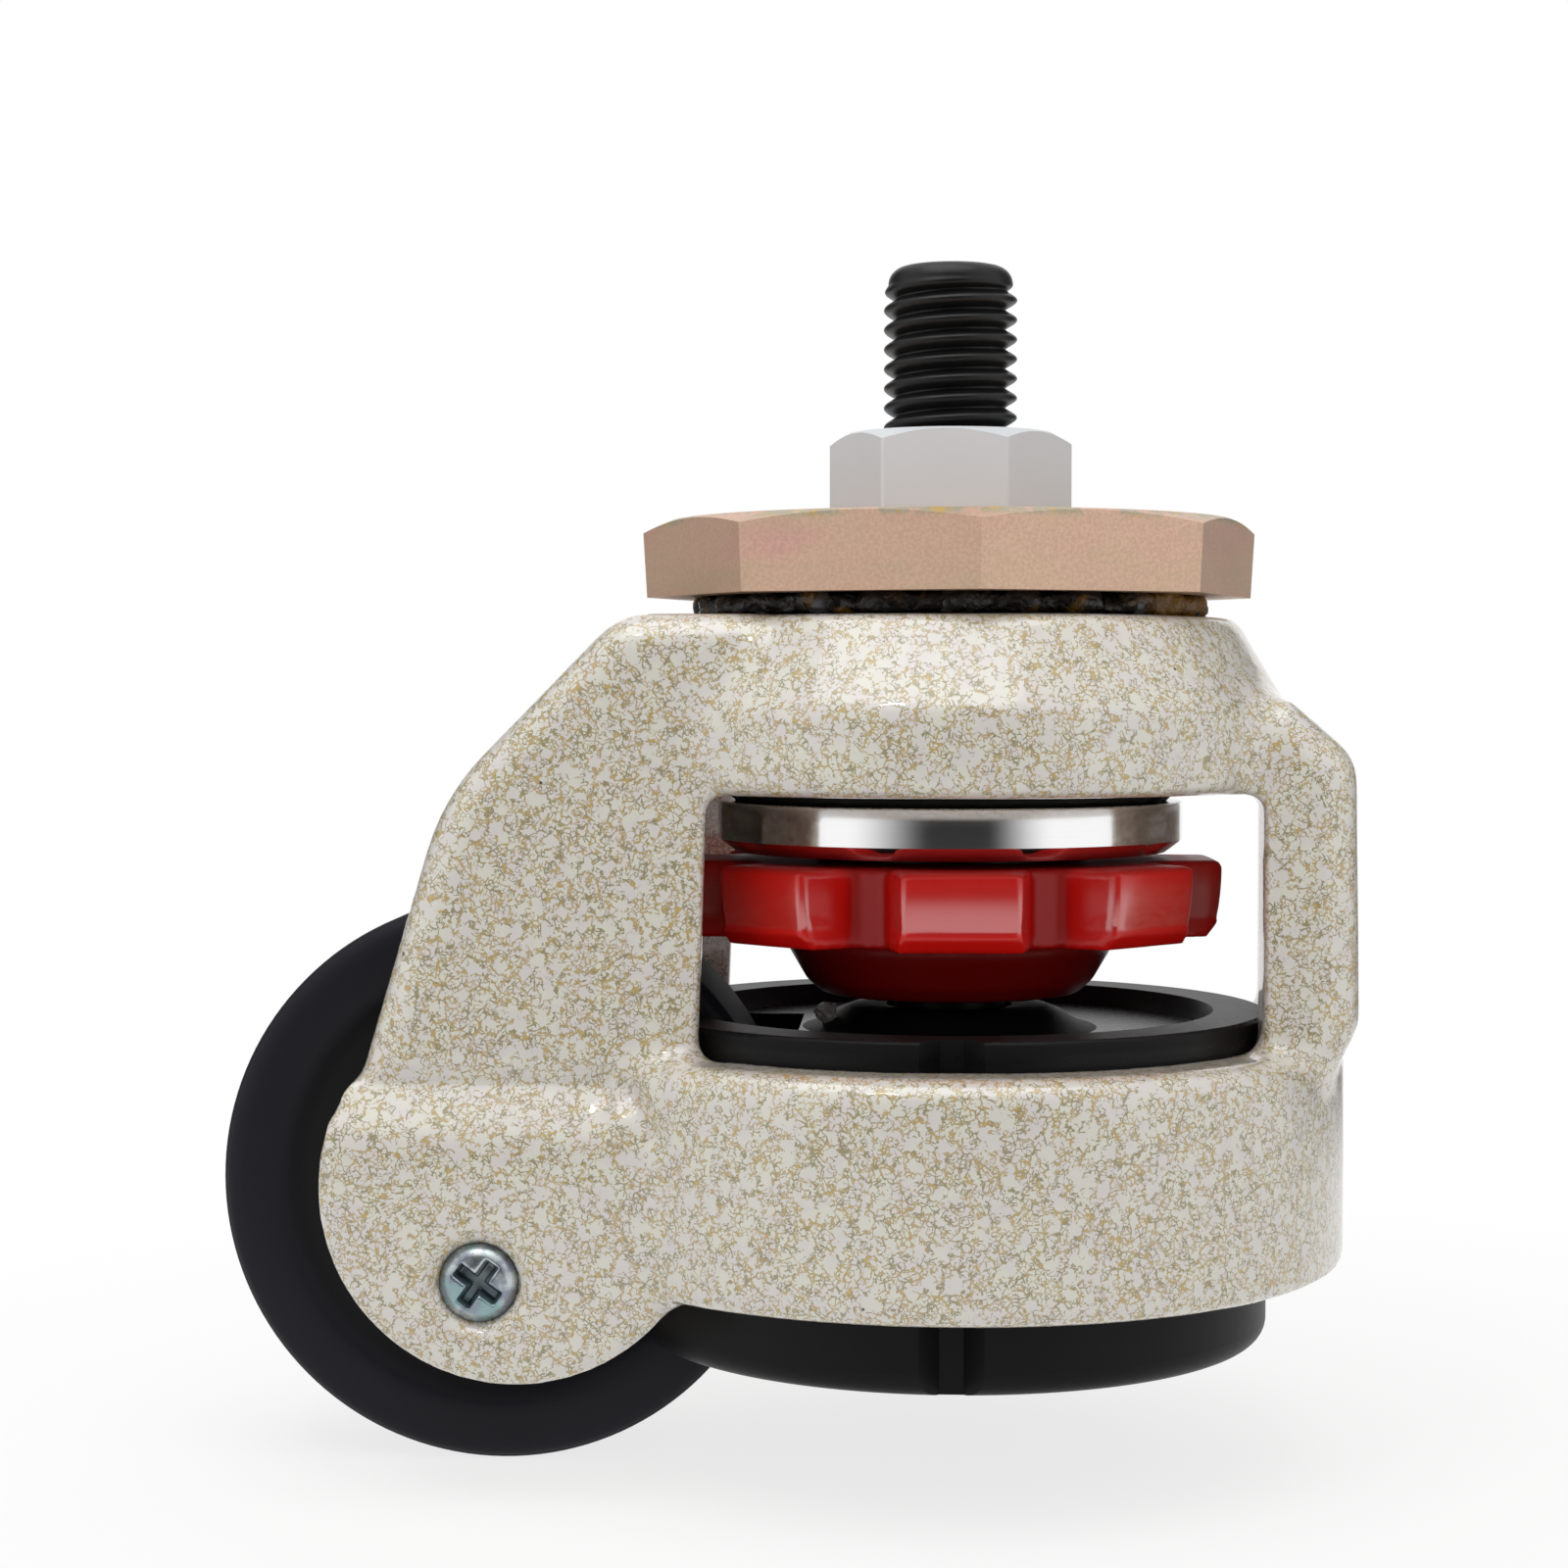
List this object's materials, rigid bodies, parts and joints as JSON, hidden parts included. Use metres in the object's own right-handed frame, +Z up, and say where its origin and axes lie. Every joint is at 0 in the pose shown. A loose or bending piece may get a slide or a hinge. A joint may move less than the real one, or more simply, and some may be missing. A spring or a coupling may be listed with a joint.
{
  "type": "levelling castor",
  "caption": "Swivel castor with a threaded stem, a small nylon wheel and a levelling foot that a red thumbwheel screws down past the wheel.",
  "frame": {"origin": "on the swivel axis, on the top face of the stem nut", "axes": "+Z up along the stem; the wheel trails towards -X at rest; Y along the axle"},
  "size_m": [0.0999, 0.0704, 0.1064],
  "materials": {
    "black_steel": "black oxide",
    "grey_zinc": "matt grey zinc",
    "yellow_zinc": "yellow passivated zinc",
    "blue_zinc": "blue passivated zinc",
    "ball_steel": "ground steel in grease",
    "bright_steel": "bright turned steel",
    "hard_steel": "ground steel",
    "brass": "turned",
    "enamel": "gloss ivory enamel with a fine tan vein",
    "red_plastic": "gloss",
    "black_nylon": "satin",
    "black_rubber": "matt"
  },
  "bodies": {
    "mounting": {"stem_stud": "black_steel", "stem_nut": "grey_zinc", "swivel_plate": "yellow_zinc", "king_pin": "black_steel", "upper_balls": "ball_steel", "lower_balls": "ball_steel", "lower_race": "bright_steel"},
    "housing": {"housing": "enamel", "upper_track": "hard_steel", "lower_track": "hard_steel", "axle": "hard_steel", "axle_keeper_near": "blue_zinc", "axle_keeper_far": "blue_zinc", "axle_screw_near": "blue_zinc", "axle_screw_far": "blue_zinc", "thrust_washer_near": "hard_steel", "thrust_washer_far": "hard_steel"},
    "wheel": {"wheel": "black_nylon", "wheel_bush": "hard_steel"},
    "dial": {"thumbwheel": "red_plastic", "dial_nut": "brass", "dial_clip": "hard_steel"},
    "foot": {"lift_pad": "black_nylon", "pad_sole": "black_rubber", "socket_cup": "hard_steel", "lift_screw": "hard_steel", "socket_clip": "hard_steel", "screw_seal": "black_rubber"}
  },
  "joints": [
    {"name": "swivel", "type": "hinge", "parent": "mounting", "child": "housing", "pos_m": [0, 0, 0], "axis": [0, 0, 1], "continuous": true},
    {"name": "wheel_spin", "type": "hinge", "parent": "housing", "child": "wheel", "pos_m": [-0.0397, 0, -0.0664], "axis": [0, 1, 0], "continuous": true},
    {"name": "dial_turn", "type": "hinge", "parent": "housing", "child": "dial", "pos_m": [0, 0, -0.0415], "axis": [0, 0, 1], "range_deg": [0, 3120]},
    {"name": "foot_lower", "type": "slide", "parent": "housing", "child": "foot", "axis": [0, 0, -1], "range_m": [0, 0.013]}
  ],
  "couplings": [
    {"joint": "dial_turn", "follows": "foot_lower", "rad_per_m": 4188.8}
  ]
}
